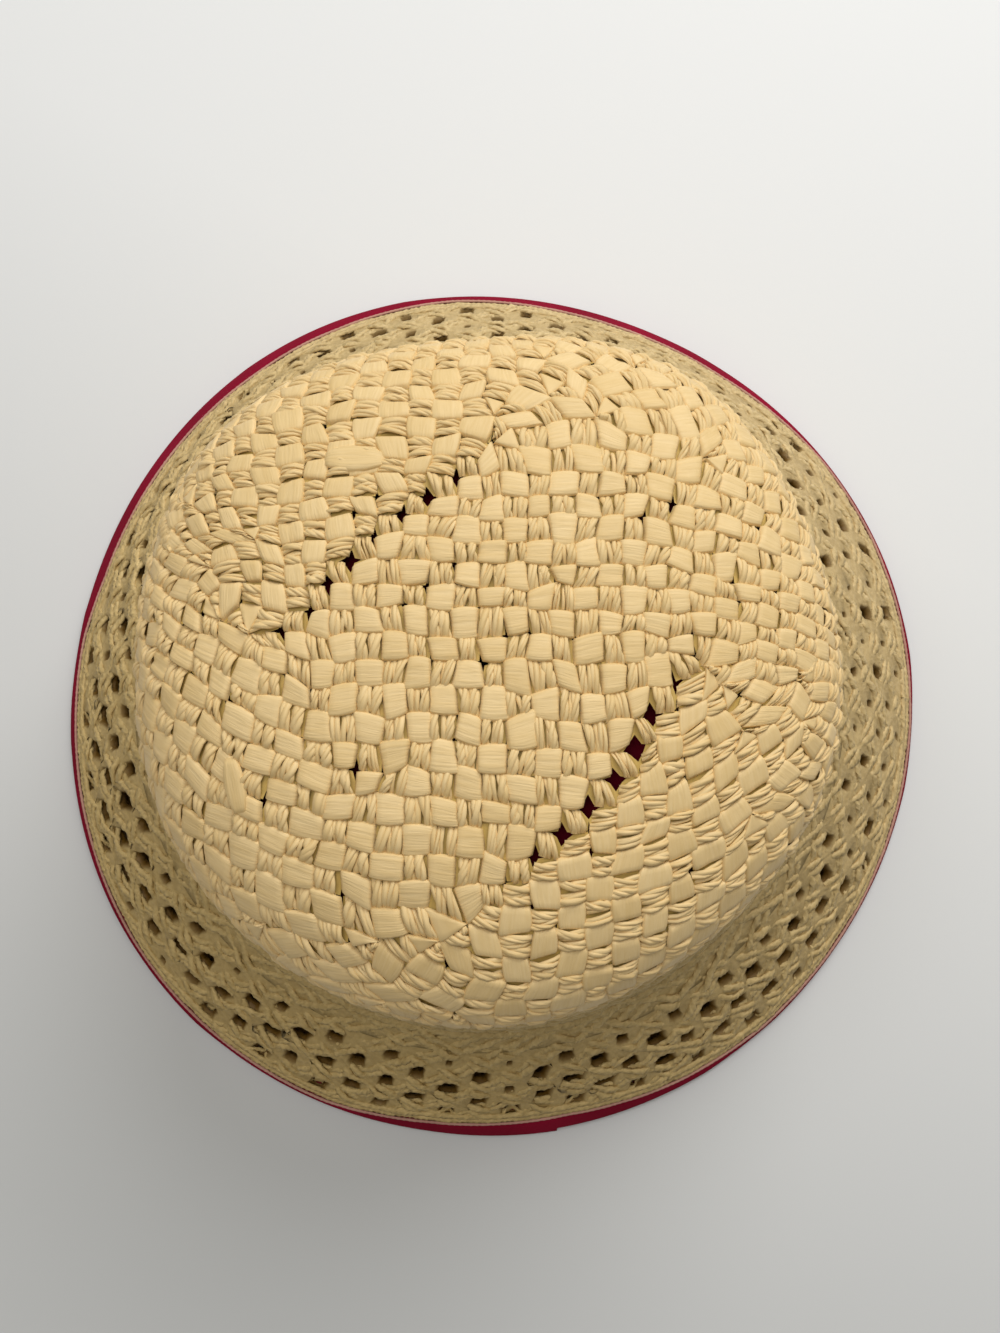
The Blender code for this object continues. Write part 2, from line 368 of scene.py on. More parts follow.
gaps = {
    # widths at the crossings of each seam, from its top end
    "upper": (2.3, 2.6, 2.0, 1.9, 2.8, 2.6, 1.8, 1.9),
    "lower": (1.9, 3.2, 4.1, 2.9, 3.3, 2.8, 2.1, 1.3),
    # single gaps away from the seams: x, y and width
    "odd": ((1.4, -2.4, 1.7), (39.5, 32.3, 1.8), (-47.6, -34.6, 1.5),
            (-29.4, -28.1, 1.8), (34.5, 28, 1.2)),
    # the share of the other crossings that are a little open, and their most
    "share": 0.26, "small": 1.2,
}

cellForm = {
    # corners are drawn back from a gap, further across the hat than down it, and at most
    # half of the way to the cell's middle
    "drawn": 0.45, "drawnMost": 0.5, "drawnBy": (1.3, 0.75, 1.0),
    "jitter": 0.44, "jitterFrom": 3, "uneven": 0.1, "past": 2.5, "insideZ": 40.0,
}


def gapSizes():
    count, reach = len(netAt), net["reach"]
    size = np.where(rng.random(count) < gaps["share"], gaps["small"] * rng.random(count), 0.0)
    for step, (upper, lower) in enumerate(zip(gaps["upper"], gaps["lower"])):
        size[netIndex[(-1 - step, reach - 1 - step)]] = upper
        size[netIndex[(reach - 1 - step, -1 - step)]] = lower
    x, y = netAt * np.cos(netAngle), netAt * np.sin(netAngle)
    for gapX, gapY, width in gaps["odd"]:
        size[np.argmin(np.hypot(x - gapX, y - gapY))] = width
    return size


def cellCorners():
    size = gapSizes()
    jitter = vary(cellForm["jitter"], len(netAt), 2)
    angle = netAngle + jitter[:, 0] / np.maximum(netAt, cellForm["jitterFrom"])
    at = netAt + jitter[:, 1]
    kept = [(corners, flat) for corners, flat in netCells
            if np.mean(at[corners]) < baseAt + cellForm["past"] and len(set(corners)) > 2]
    chosen = np.array([corners for corners, _ in kept])
    flats = np.array([flat for _, flat in kept])
    whole = onCrown(at, angle, 0.0)[chosen]
    centre = whole.mean(1, keepdims=True)
    inward = centre - whole
    far = np.maximum(np.linalg.norm(inward, axis=2, keepdims=True), 1e-6)
    pull = inward / far * np.array(cellForm["drawnBy"])
    corners = whole + pull * np.minimum(size[chosen][..., None] * cellForm["drawn"],
                                        far * cellForm["drawnMost"])
    corners = corners + vary(cellForm["uneven"], *corners.shape)
    up = unit(np.cross(corners[:, 2] - corners[:, 0], corners[:, 3] - corners[:, 1]))
    outward = np.einsum("ij,ij->i", up, centre[:, 0] - np.array([0, 0, cellForm["insideZ"]]))
    up *= np.sign(outward)[:, None]
    return corners, whole, up, flats


def spread(corners, a, b):
    # places inside cells: a runs along the strand on top, b across it
    a, b = a[..., None], b[..., None]
    c = corners[:, :, None, :]
    return (c[:, 0] * (1 - a) * (1 - b) + c[:, 1] * a * (1 - b)
            + c[:, 2] * a * b + c[:, 3] * (1 - a) * b)


# finishes
class Wire:
    # an output of a shader node that can be added, multiplied and taken from a number
    def __init__(self, finish, socket):
        self.finish = finish
        self.socket = socket

    def math(self, operation, first, second):
        return self.finish.make("Math", {0: first, 1: second}, operation=operation)

    def __add__(self, other):
        return self.math("ADD", self, other)

    def __mul__(self, other):
        return self.math("MULTIPLY", self, other)

    def __rsub__(self, other):
        return self.math("SUBTRACT", other, self)


class Finish:
    def __init__(self, name):
        self.material = bpy.data.materials.new(name)
        self.material.use_nodes = True
        self.tree = self.material.node_tree
        self.shader = self.tree.nodes["Principled BSDF"]

    def feed(self, socket, value):
        if isinstance(value, Wire):
            self.tree.links.new(value.socket, socket)
        else:
            socket.default_value = value

    def make(self, kind, inputs, output=0, **settings):
        node = self.tree.nodes.new("ShaderNode" + kind)
        for key, value in settings.items():
            setattr(node, key, value)
        for key, value in inputs.items():
            self.feed(node.inputs[key], value)
        return Wire(self, node.outputs[output])

    def attribute(self, name):
        return self.make("Attribute", {}, 2, attribute_name=name)

    def objectPlace(self):
        return self.make("TexCoord", {}, 3)

    def split(self, vector):
        node = self.make("SeparateXYZ", {0: vector}).socket.node
        return [Wire(self, output) for output in node.outputs]

    def mix(self, factor, first, second, blend="MIX"):
        return self.make("Mix", {0: factor, 6: first, 7: second}, 2,
                         data_type="RGBA", blend_type=blend)

    def ramp(self, value, low, high):
        return self.make("MapRange", {0: value, 1: low, 2: high, 3: 0.0, 4: 1.0})

    def noise(self, vector, scale, detail):
        return self.make("TexNoise", {"Vector": vector, "Scale": scale, "Detail": detail})

    def bump(self, strength, distance, height):
        return self.make("Bump", {"Strength": strength, "Distance": distance, "Height": height})

    def set(self, **values):
        for key, value in values.items():
            self.feed(self.shader.inputs[key.replace("_", " ")], value)
        return self.material


straw = {
    # streaks and clouds, and their slip from strand to strand
    "streak": {"along": 0.10, "slip": 37.0, "across": 1.1, "own": 11.0, "noise": (1.6, 4.0)},
    "cloud": {"along": 0.16, "across": 0.5, "own": 23.0, "noise": (0.8, 2.0)},
    "streakRange": (0.34, 0.66), "cloudRange": (0.3, 0.7),
    "streakShare": 0.38, "cloudShare": 0.22, "ownShare": 0.40,
    # crumpled straw has lumps as well
    "lumpNoise": (640.0, 3.0), "lumpRange": (0.36, 0.62), "lumpHeight": 3.0, "lumpStreak": 0.6,
    # painted light: crumpled straw is painted paler at the far side and at the right, towards the
    # window lamp
    "farX": 0.6, "farY": 0.8, "farRange": (-0.10, 0.10), "paintedLightShare": 0.85,
    "paintedLightTint": (1.14, 1.19, 1.48, 1),
    # painted shade: the foot of the wall is painted darker, towards the brim's straw, where the
    # wall meets the brim; heights in metres
    "footShadeRange": (0.076, 0.042), "footShadeShare": 0.88,
    "bump": 0.55, "roughness": 0.62, "streakRoughness": 0.14, "specular": 0.35,
}


def strandNoise(f, along, across, shade, form):
    x = along * form["along"]
    if "slip" in form:
        x = x + shade * form["slip"]
    place = f.make("CombineXYZ", {0: x, 1: across * form["across"], 2: shade * form["own"]})
    return f.noise(place, *form["noise"])


def strawFinish(name, light, dark, fold, deep=None, footShade=None, crumple=0.0):
    # paper straw with streaks along each strand, and a tone of its own for each strand
    f = Finish(name)
    along, across, _ = f.split(f.make("UVMap", {}, uv_map="strand"))
    shade = f.attribute("shade")
    place = f.objectPlace()
    x, y, z = f.split(place)
    streak = strandNoise(f, along, across, shade, straw["streak"])
    cloud = strandNoise(f, along, across, shade, straw["cloud"])
    tone = (f.ramp(streak, *straw["streakRange"]) * straw["streakShare"]
            + f.ramp(cloud, *straw["cloudRange"]) * straw["cloudShare"] + shade * straw["ownShare"])
    height = streak
    if crumple:
        lumps = f.noise(place, *straw["lumpNoise"])
        tone = tone * (1 - crumple) + f.ramp(lumps, *straw["lumpRange"]) * crumple
        height = streak * straw["lumpStreak"] + lumps * crumple * straw["lumpHeight"]
    colour = f.mix(tone, dark, light)
    # painted light: paler towards the far side and the right
    if crumple:
        far = f.ramp(x * straw["farX"] + y * straw["farY"], *straw["farRange"])
        colour = f.mix(far * straw["paintedLightShare"], colour, straw["paintedLightTint"], "MULTIPLY")
    # painted shade on the back of the mat and the walls of its gaps
    if deep:
        colour = f.mix(f.attribute("deep"), colour, deep)
    # painted shade at the foot of the crown's wall
    if footShade:
        colour = f.mix(f.ramp(z, *straw["footShadeRange"]) * straw["footShadeShare"], colour, footShade)
    return f.set(Base_Color=colour, Normal=f.bump(straw["bump"], fold * mm, height),
                 Roughness=straw["roughness"] - streak * straw["streakRoughness"],
                 Specular_IOR_Level=straw["specular"])


cloth = {
    "grainNoise": (1400.0, 2.0), "cloudNoise": (60.0, 3.0), "cloudRange": (0.35, 0.65),
    "cloudShare": 0.6, "grainShare": 0.4,
    "bump": 0.5, "grainHigh": 0.15, "roughness": 0.9, "specular": 0.06,
}


def clothFinish(name, light, dark):
    f = Finish(name)
    place = f.objectPlace()
    grain = f.noise(place, *cloth["grainNoise"])
    cloud = f.noise(place, *cloth["cloudNoise"])
    tone = f.ramp(cloud, *cloth["cloudRange"]) * cloth["cloudShare"] + grain * cloth["grainShare"]
    return f.set(Base_Color=f.mix(tone, dark, light), Roughness=cloth["roughness"],
                 Normal=f.bump(cloth["bump"], cloth["grainHigh"] * mm, grain),
                 Specular_IOR_Level=cloth["specular"])


# the crown's straw, with painted shade at the foot of its wall
strawTop = strawFinish("straw_weave", light=(0.82, 0.612, 0.315, 1), dark=(0.70, 0.492, 0.212, 1),
                       fold=0.34, footShade=(0.53, 0.388, 0.165, 1))
# painted shade: the strands underneath are painted darker and yellower than the same straw on top
shadedStrawUnder = strawFinish("straw_under_shaded", light=(0.62, 0.43, 0.13, 1), dark=(0.48, 0.315, 0.075, 1),
                         fold=0.2)
# painted shade: the brim's straw is painted darker and yellower than the crown's straw, and the mat
# between its cords darker still
shadedStrawLace = strawFinish("straw_lace", light=(0.67, 0.49, 0.207, 1), dark=(0.44, 0.305, 0.11, 1),
                        fold=0.45, crumple=0.5)
# the mat's deep colour is painted shade for the back of the mat and its gaps' walls
shadedStrawMat = strawFinish("straw_mat", light=(0.56, 0.40, 0.16, 1), dark=(0.40, 0.27, 0.093, 1),
                       fold=0.5, deep=(0.15, 0.075, 0.008, 1), crumple=0.5)
# a pale pink cord at the straw's edge: partly piping, partly a painted highlight on the tape's fold
pipingAndHighlightPink = clothFinish("piping_pink_and_highlight", (0.56, 0.32, 0.25, 1), (0.46, 0.24, 0.19, 1))
tapeRed = clothFinish("crimson_tape", (0.275, 0.006, 0.028, 1), (0.20, 0.005, 0.019, 1))
liningRed = clothFinish("crimson_lining", (0.13, 0.003, 0.013, 1), (0.08, 0.002, 0.008, 1))

# flat strands of the crown, one crowned ribbon to a cell
flatStrand = {
    "along": (-0.10, -0.065, -0.02, 0.06, 0.25, 0.5, 0.75, 0.94, 1.02, 1.065, 1.10),
    "rise": (-1.0, -0.55, 0.02, 0.33, 0.42, 0.44, 0.42, 0.33, 0.02, -0.55, -1.0),
    "across": (-0.095, -0.06, 0.0, 0.25, 0.5, 0.75, 1.0, 1.06, 1.095),
    "drop": (-0.95, -0.30, -0.03, 0.0, 0.02, 0.0, -0.03, -0.30, -0.95),
    "lowest": -1.1, "pinch": 0.09, "pinchPower": 2.2,
    # how much the strands differ
    "plump": (0.98, 0.075), "lean": 0.05, "lift": 0.10, "dents": 0.05,
    "tiltAcross": 0.25, "tiltAlong": 0.18,
    # the groove of one lengthways fold
    "foldFrom": 0.1, "foldOver": 0.8, "foldDeep": 0.22, "foldWide": 0.10,
}


def buildFlats(corners, up, name, pinched):
    form = flatStrand
    a, b = grid(form["along"], form["across"])
    rows, columns = a.shape
    count, size = len(corners), a.size
    a, b = a.ravel(), b.ravel()
    rise = np.interp(a, form["along"], form["rise"]) + np.interp(b, form["across"], form["drop"])
    rise = np.maximum(rise, form["lowest"])
    # the strand bulges in its middle and is pinched where it dives under its neighbours
    pinch = 1 - pinched * np.abs(2 * a - 1) ** form["pinchPower"]
    plump = rng.normal(*form["plump"], (count, 1))
    lean = vary(form["lean"], count, 1)
    fullB = 0.5 + (b - 0.5) * pinch * plump + lean * (2 * a - 1)
    spots = spread(corners, np.broadcast_to(a, fullB.shape), fullB)
    lift = rise + vary(form["lift"], count, 1)
    fold = rng.random((count, 1)) * form["foldOver"] + form["foldFrom"]
    deep = np.maximum(vary(form["foldDeep"], count, 1), 0)
    lift = lift - deep * np.exp(-((b - fold) / form["foldWide"]) ** 2)
    tilt = vary(form["tiltAcross"], count, 1) * (b - 0.5)
    tilt = tilt + vary(form["tiltAlong"], count, 1) * (a - 0.5)
    dents = vary(form["dents"], count, size)
    spots = spots + (lift + tilt + dents)[..., None] * up[:, None]
    wide = np.linalg.norm(corners[:, 3] - corners[:, 0], axis=1)[:, None]
    long = np.linalg.norm(corners[:, 1] - corners[:, 0], axis=1)[:, None]
    uv = np.stack([a * long, b * wide], -1)
    shade = np.repeat(rng.random(count), size)
    piece = addPiece(name, spots, patchFaces(count, rows, columns), uv, shade, strawTop)
    return piece


# long flat strands that lie over their neighbours: x, y, length, width and turn
loose = {
    "strands": ((-29.6, 44.1, 11.5, 5.6, 4), (-55.4, -29.7, 11.0, 4.6, 100)),
    "lift": 0.85, "pinch": 0.4,
}


def buildLoose(name):
    quads, ups = [], []
    for x, y, long, wide, turn in loose["strands"]:
        ahead = np.array([math.cos(math.radians(turn)), math.sin(math.radians(turn))])
        aside = np.array([-ahead[1], ahead[0]])
        ends = np.array([(x, y) + ahead * a * long / 2 + aside * b * wide / 2
                         for a, b in ((-1, -1), (1, -1), (1, 1), (-1, 1))])
        quad = onCrown(*polar(ends), loose["lift"])
        quads.append(quad)
        ups.append(unit(np.cross(quad[2] - quad[0], quad[3] - quad[1])))
    buildFlats(np.array(quads), np.array(ups), name, loose["pinch"])


# twisted strands of the crown: two bundles of three thin strands to a cell, and one between
cordStrand = {
    "along": (-0.10, 0.05, 0.24, 0.5, 0.76, 0.95, 1.10),
    "rise": (-1.2, -0.58, 0.14, 0.30, 0.14, -0.58, -1.2),
    # place across the cell, strands, how far they wind out sideways and lift of the bundle
    "bundles": ((0.25, 3, 0.58, 0.0), (0.75, 3, 0.58, 0.0), (0.5, 1, 0.2, -0.26)),
    "windHigh": 0.34, "turn": 165, "half": 0.62, "thick": 0.47,
    "section": (-30, 28, 90, 152, 210), "sectionUv": 0.6,
    # how much the bundles and strands differ
    "endsApart": 0.065, "lift": 0.12, "turnSpread": 0.35, "slip": 0.35,
    "halfSpread": 0.16, "halfAlong": 0.06,
    # cells above this height are one piece and those below it another
    "splitZ": 86,
}


def buildCords(corners, up, name):
    form = cordStrand
    count = len(corners)
    a = np.array(form["along"])
    section = np.radians(form["section"])
    sideways = corners[:, 3] - corners[:, 0] + corners[:, 2] - corners[:, 1]
    width = np.linalg.norm(sideways, axis=1) / 2 / net["pitch"]
    across, out = unit(sideways)[:, None], up[:, None]
    points, uvs, shades = [], [], []
    for mid, strands, wind, bundleZ in form["bundles"]:
        # the bundles come closer at one end than at the other
        ends = vary(form["endsApart"], count, 2)
        mids = mid + ends[:, :1] * (1 - a) + ends[:, 1:] * a
        middleLine = spread(corners, np.broadcast_to(a, mids.shape), mids)
        bundleLift = np.array(form["rise"]) + bundleZ + vary(form["lift"], count, 1)
        turn = math.radians(form["turn"]) * rng.normal(1.0, form["turnSpread"], (count, 1))
        start = rng.random((count, 1)) * math.tau
        for strand in range(strands):
            slip = vary(form["slip"], count, 1)
            turns = start + slip + turn * a + math.tau * strand / strands
            aside = wind * np.cos(turns) * width[:, None]
            lift = bundleLift + form["windHigh"] * np.sin(turns)
            centre = middleLine + aside[..., None] * across + lift[..., None] * out
            half = form["half"] * width[:, None] * rng.normal(1.0, form["halfSpread"], (count, 1))
            half = half * rng.normal(1.0, form["halfAlong"], (count, len(a)))
            x = half[..., None] * np.cos(section)
            y = form["thick"] * np.sin(section) + 0 * x
            points.append(centre[:, :, None] + x[..., None] * across[:, None]
                          + y[..., None] * out[:, None])
            u = np.broadcast_to(a[:, None] * net["pitch"], x.shape)
            v = np.broadcast_to(section * form["sectionUv"], x.shape)
            uvs.append(np.stack([u, v], -1))
            shades.append(np.repeat(rng.random(count), len(section) * len(a)))
    faces = patchFaces(len(points) * count, len(a), len(section))[:, ::-1]
    piece = addPiece(name, points, faces, uvs, shades, strawTop)


# the strands that pass underneath, seen only at the bottom of creases, in straw painted darker as
# painted shade
under = {"marks": (-0.01, 0.5, 1.01), "tip": 0.4, "depth": 0.95, "uv": 5}


def buildUnder(corners, whole, up, name):
    a, b = grid(under["marks"], under["marks"])
    rows, columns = a.shape
    a, b = a.ravel()[None], b.ravel()[None]
    # only the tips are drawn back from the gaps
    tips = (np.abs(a - 0.5) > under["tip"]) & (np.abs(b - 0.5) > under["tip"])
    spots = np.where(tips[..., None], spread(corners, a, b), spread(whole, a, b))
    spots = spots - under["depth"] * up[:, None]
    count = len(corners)
    uv = np.tile(under["uv"] * np.stack([a[0], b[0]], -1), (count, 1))
    shade = np.repeat(rng.random(count), rows * columns)
    piece = addPiece(name, spots, patchFaces(count, rows, columns), uv, shade, shadedStrawUnder)


print("crown")
corners, wholeCorners, ups, flats = cellCorners()
high = corners.mean(1)[:, 2] > cordStrand["splitZ"]
flatPiece = buildFlats(corners[flats], ups[flats], "crown_flat_strands", flatStrand["pinch"])
buildLoose("crown_loose_strands")
buildCords(corners[~flats & high], ups[~flats & high], "crown_top_cords")
buildCords(corners[~flats & ~high], ups[~flats & ~high], "crown_side_cords")
buildUnder(corners, wholeCorners, ups, "crown_under_strands")
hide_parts("crown")

# the straw's edge and the tape that shows past it
edge = {
    # the width of tape that is seen from above, by the angle round the hat
    "shows": ((0, 0.4), (35, 0.5), (55, 2.0), (72, 2.1), (95, 1.0), (125, 2.35), (150, 2.6),
              (162, 2.8), (172, 1.4), (200, 1.3), (215, 0.9), (248, 0.8), (262, 2.4), (281, 3.1),
              (290, 2.2), (297, 1.5), (310, 0.6), (345, 0.4), (360, 0.4)),
    # the eye's place, the straw's height over the tape's edge and the bell's slope
    "eyeBack": 38.5, "eyeHigh": 397, "rise": 0.8, "slopeOut": 0.63, "slopeDown": 0.777,
    "backMost": 8.5,
}


def edgeBack(angle):
    # how far the straw stops short of the rim, so that the wanted width of tape shows
    degrees, widths = np.array(edge["shows"]).T
    shows = np.interp(np.degrees(angle) % 360, degrees, widths)
    lean = (hat["rimR"] + edge["eyeBack"] * np.sin(angle)) / edge["eyeHigh"]
    back = (shows + edge["rise"] * lean) / (edge["slopeOut"] - edge["slopeDown"] * lean)
    return np.minimum(back, edge["backMost"])


def strawEnd(angle):
    return bellEnd - edgeBack(angle)


# openwork brim: a mat with staggered gaps, and paired cords slanting both ways
lace = {
    "bands": 40, "firstHole": 183.2,
    "rows": (-1, 0, 1, 2, 3, 4, 5, 6),
    "rowRadius": (97.5, 101.4, 105.3, 110.2, 114.4, 118.2, 122.1, 125.6),
    "innerPitch": 3.6, "pullFrom": 2.5, "pullRow": -2, "pullOver": 7,
    # the rows' waves round the hat: height, waves to a turn and slant
    "rowWaves": ((0.35, 5, 1), (0.25, 13, -2)),
    # the cords
    "firstRow": -2.3, "lastRow": 6.2, "sections": 60, "ring": 9, "valleyEvery": 3, "ringUv": 0.7,
    "half": 1.3, "thick": 0.72, "pitch": 9.0, "fineHalf": 0.5, "valley": 0.84,
    "upperLift": -1.15, "lowerLift": -1.2, "upperWave": 0.50, "lowerWave": -0.35,
    # the two cords of a pair come together between the gaps
    "apart": 1.2, "apartWave": 0.35, "openFrom": -0.6, "openOver": 1.8,
    # at the straw's edge they sink under the cords that run round it
    "edge": 2.6, "sink": 2.4, "sinkOver": 1.5,
    # how uneven the cords are
    "liftSpread": 0.28, "rough": 0.07, "wander": 0.22, "turnSpread": 0.16,
    "lumpy": 0.14, "fineLumpy": 0.02,
}
bandStep = 360 / lace["bands"]


def rowLength(row, angle):
    # the rows sit nearer to the crown where more of the tape shows
    row, angle = np.broadcast_arrays(row, angle)
    inner = lace["rowRadius"][0] + (row + 1) * lace["innerPitch"]
    radius = np.interp(row, lace["rows"], lace["rowRadius"])
    radius = np.where(row < lace["rows"][0], inner, radius)
    length = np.interp(radius, bell["r"], bell["length"])
    outwards = np.clip((row - lace["pullRow"]) / lace["pullOver"], 0, 1)
    pull = np.maximum(edgeBack(angle) - lace["pullFrom"], 0) * outwards
    wander = sum(height * np.sin(angle * count + slant * row)
                 for height, count, slant in lace["rowWaves"])
    return length - pull + wander * np.clip(row / 2, 0, 1)


def laceCord(centre, side, up, half, thick):
    # a lumpy cord of three lobes that turns, or a fine one that is nearly round
    ring = np.arange(lace["ring"])
    fine = half < lace["fineHalf"]
    start = rng.random() * math.tau
    step = np.concatenate([[0], np.cumsum(np.linalg.norm(np.diff(centre, axis=0), axis=1))])
    uneven = np.cumsum(vary(lace["turnSpread"], len(step)))
    turns = (start + uneven[:, None] + math.tau * step[:, None] / lace["pitch"]
             + fullTurn(lace["ring"]))
    lumps = rng.normal(1, lace["fineLumpy"] if fine else lace["lumpy"], len(step) // 2 + 1)
    lumps = np.interp(np.arange(len(step)), np.arange(len(lumps)) * 2, lumps)[:, None]
    valley = 1.0 if fine else lace["valley"]
    shape = np.where(ring % lace["valleyEvery"] == 0, valley, 1.0) * lumps
    x = half * shape * np.cos(turns)
    y = thick * shape * np.sin(turns)
    tube = centre[:, None] + x[..., None] * side[:, None] + y[..., None] * up[:, None]
    uv = np.stack(np.broadcast_arrays(step[:, None], ring * lace["ringUv"]), -1)
    return tube, uv, np.full(x.size, rng.random())


def joinCords(name, cords, sections, material):
    points, uvs, shades = zip(*cords)
    faces = patchFaces(len(cords), sections, lace["ring"], closed=True)
    return addPiece(name, points, faces, uvs, shades, material)


def brimFrame(length, angle, lift):
    # centre line of a cord on the brim with its outward and sideways directions
    centre = onBrim(length, angle, lift)
    up = unit(onBrim(length, angle, lift + 1.0) - centre)
    return centre, unit(np.cross(np.gradient(centre, axis=0), up)), up


def buildLace(handed, layer, name):
    cords = []
    sections = lace["sections"]
    row = np.linspace(lace["firstRow"], lace["lastRow"], sections)
    weave = np.cos(math.tau * row) * np.clip(row + 1, 0, 1)
    openness = np.clip((row - lace["openFrom"]) / lace["openOver"], 0, 1)
    apart = (lace["apart"] * (1.5 - 0.5 * openness)
             + lace["apartWave"] * openness * np.cos(math.tau * row))
    for band in range(lace["bands"]):
        angle = np.radians(lace["firstHole"] + bandStep / 2 + bandStep * band
                           + handed * bandStep / 2 * (row - 1))
        free = rowLength(row, angle)
        length = np.minimum(free, strawEnd(angle) - lace["edge"])
        sunk = lace["sink"] * np.clip((free - length) / lace["sinkOver"], 0, 1)
        for k in (-1, 1):
            lift = lace[layer + "Lift"] + lace[layer + "Wave"] * weave - sunk
            lift = (lift + np.interp(row, np.arange(-3, 8), vary(lace["liftSpread"], 11))
                    + vary(lace["rough"], sections))
            centre, side, up = brimFrame(length, angle, lift)
            wander = np.interp(row, np.linspace(-3, 7, 12), vary(lace["wander"], 12))
            centre = centre + side * (k * apart + wander)[:, None]
            cords.append(laceCord(centre, side, up, lace["half"], lace["thick"]))
    piece = joinCords(name, cords, sections, shadedStrawLace)


# cords that run right round the hat: distance from the straw's edge or the crown's foot,
# lift, half width and half thickness
roundCords = {
    "sections": 481, "wobbles": 80, "wobble": 0.15,
    "fromEdge": ((1.2, -0.85, 1.25, 0.8), (3.3, -0.75, 1.25, 0.8)),
    "fromFoot": ((1.0, -0.75, 1.6, 0.9), (4.0, -1.2, 1.6, 1.0)),
    "piping": ((-0.10, -0.28, 0.42, 0.5),),
}


def buildRounds(name, fromEdge, fromFoot, material):
    cords = []
    sections, wobbles = roundCords["sections"], roundCords["wobbles"]
    angle = np.linspace(0, math.tau, sections)
    places = [(strawEnd(angle) - back, *form) for back, *form in fromEdge]
    for length, lift, half, thick in places + list(fromFoot):
        wobble = vary(min(roundCords["wobble"], half / 4), wobbles)
        wobble = np.interp(angle, np.linspace(0, math.tau, wobbles + 1), np.append(wobble, 0))
        centre, side, up = brimFrame(length + wobble, angle, lift)
        centre[:, 2] = np.maximum(centre[:, 2], thick)
        cords.append(laceCord(centre, side, up, half, thick))
    return joinCords(name, cords, sections, material)


# the mat between the cords, with one rounded gap in each diamond
matForm = {
    "rows": (1, 2, 3, 4, 5), "wide": (2.0, 2.5, 2.8, 2.8, 2.5), "high": (2.5, 3.3, 3.5, 3.4, 2.8),
    "ring": 12, "sizeSpread": 0.14, "sizeRange": (0.6, 1.15), "highSpread": 0.1,
    "skew": (0.15, 0.2), "slide": 0.3, "squareWide": 0.16, "squareHigh": 0.10,
    # by the angle round the hat: how large the gaps are and the share of them that are shut
    "sizeAt": (0, 50, 90, 140, 200, 300, 335, 360),
    "sizes": (0.78, 0.80, 0.72, 0.85, 1.03, 1.03, 0.85, 0.78),
    "shut": (0.58, 0.55, 0.38, 0.12, 0.07, 0.07, 0.40, 0.58),
    "shutInner": 0.3, "shutSize": 0.45,
    # rings from the diamond's edge behind, through the gap, to the edge in front: share of
    # the gap's size, lift and share of painted shade on the straw
    "rings": ((None, None, 1), (0.6, None, 1), (0.88, -2.2, 1), (1.03, -1.2, 0.7),
              (1.35, -0.7, 0), (None, -0.9, 0)),
    # the bands without gaps at both sides
    "innerFrom": 0.3, "innerTo": 0.05, "outerFrom": 5.7, "endBack": 0.4, "bandLift": -0.95,
    "bandSections": 240, "outerSquare": 0.75,
    # the mat is thin at its inner and outer ends and thick between
    "thin": 2.1, "thick": 3.5, "innerThin": 6, "innerThick": 10, "innerSlope": 0.35,
    "outerThick": 10, "outerThin": 6.5, "outerSlope": 0.37,
    "uvRound": 1.9, "shadeRun": 12,
}


def matDepth(length, angle):
    form = matForm
    end = strawEnd(angle)
    return np.select(
        [length < form["innerThin"], length < form["innerThick"],
         length < end - form["outerThick"], length < end - form["outerThin"]],
        [form["thin"], form["thin"] + (length - form["innerThin"]) * form["innerSlope"],
         form["thick"], form["thick"] - (length - end + form["outerThick"]) * form["outerSlope"]],
        form["thin"])


def matPoints(at, angle, lift):
    # a lift of None is the back of the mat
    return onBrim(at, angle, -matDepth(at, angle) if lift is None else lift)


def gapShape(row, middleAngle, wide, high):
    # the outline of one gap, sideways and outwards from the middle of its diamond
    form = matForm
    turn = fullTurn(form["ring"])
    degrees = np.degrees(middleAngle) % 360
    size = np.clip(rng.normal(1.0, form["sizeSpread"]), *form["sizeRange"])
    size *= np.interp(degrees, form["sizeAt"], form["sizes"])
    shut = np.interp(degrees, form["sizeAt"], form["shut"])
    if rng.random() < (max(shut, form["shutInner"]) if row == form["rows"][0] else shut):
        size *= form["shutSize"]
    skew, slide = rng.normal(*form["skew"]), rng.normal(0, form["slide"])
    corners = np.cos(4 * turn + math.pi)
    u = wide * size * np.cos(turn) * (1 + form["squareWide"] * corners) + slide
    v = (high * size * rng.normal(1.0, form["highSpread"]) * np.sin(turn)
         * (1 + form["squareHigh"] * corners))
    return u - skew * v, v


def diamondEdge(row):
    # the edge of a gap's diamond, which is square on the side of a band without gaps
    third = np.array([3, 2, 1, 0, -1, -2, -3, -2, -1, 0, 1, 2]) / 3
    boxU = np.array([2, 2, 1, 0, -1, -2, -2, -2, -1, 0, 1, 2]) / 2
    boxV = np.array([0, 1, 1, 1, 1, 1, 0, -1, -1, -1, -1, -1])
    first, last = row == matForm["rows"][0], row == matForm["rows"][-1]
    squared = (boxV < 0) & first | (boxV > 0) & last
    edgeU = np.where(squared, boxU, third)
    edgeV = np.where(squared, boxV * (1 if first else matForm["outerSquare"]), np.roll(third, 3))
    return edgeU, edgeV


